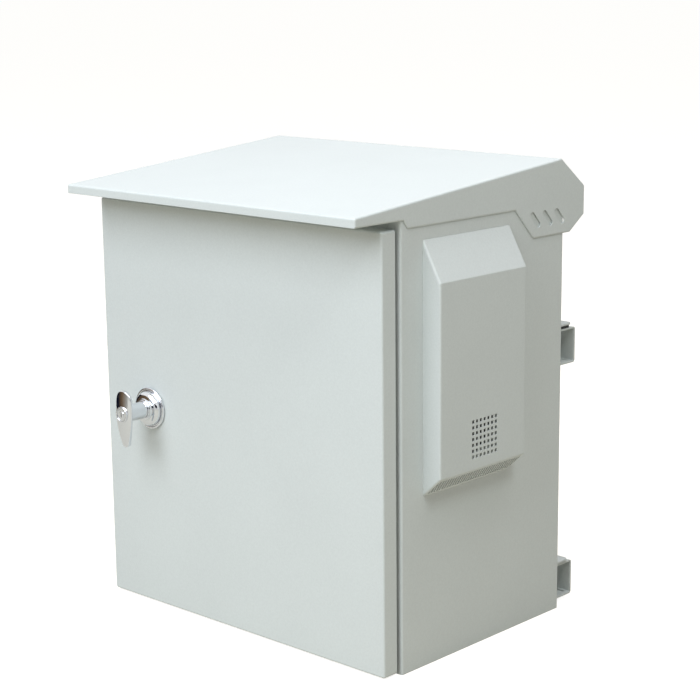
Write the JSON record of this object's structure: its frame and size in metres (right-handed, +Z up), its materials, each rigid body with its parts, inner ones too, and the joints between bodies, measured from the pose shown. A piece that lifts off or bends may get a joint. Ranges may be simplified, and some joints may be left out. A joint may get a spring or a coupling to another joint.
{
  "type": "roadside utility cabinet",
  "caption": "Outdoor utility cabinet of folded sheet steel with a rain canopy, hinged front door with a key handle, side vent hoods and rear channels for a pole or wall",
  "frame": {"origin": "centre of the body's base, on the surface it stands on", "axes": "+X to the right of someone facing the door, +Y from the door to the back, +Z up"},
  "size_m": [0.5866, 0.4552, 0.6289],
  "materials": {
    "enclosure_paint": "light grey fine-texture powder coat",
    "zinc_plated_steel": "bright zinc plating, dull",
    "chrome_plating": "polished chrome plating on die-cast zinc",
    "black_rubber": "matt black moulded rubber",
    "foam_seal": "black closed-cell foamed seal",
    "black_plastic": "satin black moulded plastic",
    "filter_fibre": "white non-woven polyester mat",
    "guard_wire": "nickel-plated wire"
  },
  "bodies": {
    "cabinet": {"body_shell": "enclosure_paint", "top_panel": "enclosure_paint", "base_panel": "enclosure_paint", "canopy": "enclosure_paint", "canopy_bracket_front": "enclosure_paint", "canopy_bracket_rear": "enclosure_paint", "canopy_bolts": "zinc_plated_steel", "hinge_leaf_body_lower": "zinc_plated_steel", "hinge_leaf_body_upper": "zinc_plated_steel", "hinge_pin_lower": "zinc_plated_steel", "hinge_pin_upper": "zinc_plated_steel", "rack_rail_left": "zinc_plated_steel", "rack_rail_right": "zinc_plated_steel", "side_channel_lower_left": "zinc_plated_steel", "side_channel_lower_right": "zinc_plated_steel", "side_channel_upper_left": "zinc_plated_steel", "side_channel_upper_right": "zinc_plated_steel", "rail_bolts": "zinc_plated_steel", "fan_frame_lower": "black_plastic", "fan_frame_upper": "black_plastic", "fan_guard_lower": "guard_wire", "fan_guard_upper": "guard_wire", "fan_screws": "zinc_plated_steel", "filter_mat": "filter_fibre", "filter_frame": "enclosure_paint", "filter_screws": "zinc_plated_steel", "hood_right": "enclosure_paint", "hood_left": "enclosure_paint", "hood_screws_right": "zinc_plated_steel", "hood_screws_left": "zinc_plated_steel", "cable_entry_plate": "enclosure_paint", "cable_entry_gasket": "foam_seal", "cable_entry_screws": "zinc_plated_steel", "cable_grommet_left": "black_rubber", "cable_grommet_right": "black_rubber", "earth_stud_body": "zinc_plated_steel", "pole_channel_lower": "enclosure_paint", "pole_channel_upper": "enclosure_paint", "mounting_ear_lower_left": "enclosure_paint", "mounting_ear_lower_right": "enclosure_paint", "mounting_ear_upper_left": "enclosure_paint", "mounting_ear_upper_right": "enclosure_paint", "ear_bolts": "zinc_plated_steel", "channel_bolts": "zinc_plated_steel", "ear_spacers": "black_rubber"},
    "door": {"door_panel": "enclosure_paint", "door_gasket": "foam_seal", "hinge_leaf_door_lower": "zinc_plated_steel", "hinge_leaf_door_upper": "zinc_plated_steel", "handle_rose": "chrome_plating", "rose_gasket": "black_rubber", "handle_nut": "zinc_plated_steel", "earth_stud_door": "zinc_plated_steel"},
    "handle": {"handle_grip": "chrome_plating", "latch_cam": "zinc_plated_steel", "cam_screw": "zinc_plated_steel"},
    "plug": {"lock_plug": "chrome_plating"},
    "rotor_lower": {"fan_rotor_lower": "black_plastic"},
    "rotor_upper": {"fan_rotor_upper": "black_plastic"}
  },
  "joints": [
    {"name": "door_hinge", "type": "hinge", "parent": "cabinet", "child": "door", "pos_m": [0.2567, -0.175, 0.285], "axis": [0, 0, 1], "range_deg": [0, 120]},
    {"name": "handle_turn", "type": "hinge", "parent": "door", "child": "handle", "pos_m": [-0.1701, -0.194, 0.2846], "axis": [0, -1, 0], "range_deg": [0, 90]},
    {"name": "lock_plug_turn", "type": "hinge", "parent": "handle", "child": "plug", "pos_m": [-0.1701, -0.239, 0.2846], "axis": [0, -1, 0], "range_deg": [0, 90]},
    {"name": "fan_spin_lower", "type": "hinge", "parent": "cabinet", "child": "rotor_lower", "pos_m": [0.25, -0.0375, 0.318], "axis": [1, 0, 0], "continuous": true},
    {"name": "fan_spin_upper", "type": "hinge", "parent": "cabinet", "child": "rotor_upper", "pos_m": [0.25, -0.0375, 0.443], "axis": [1, 0, 0], "continuous": true}
  ]
}
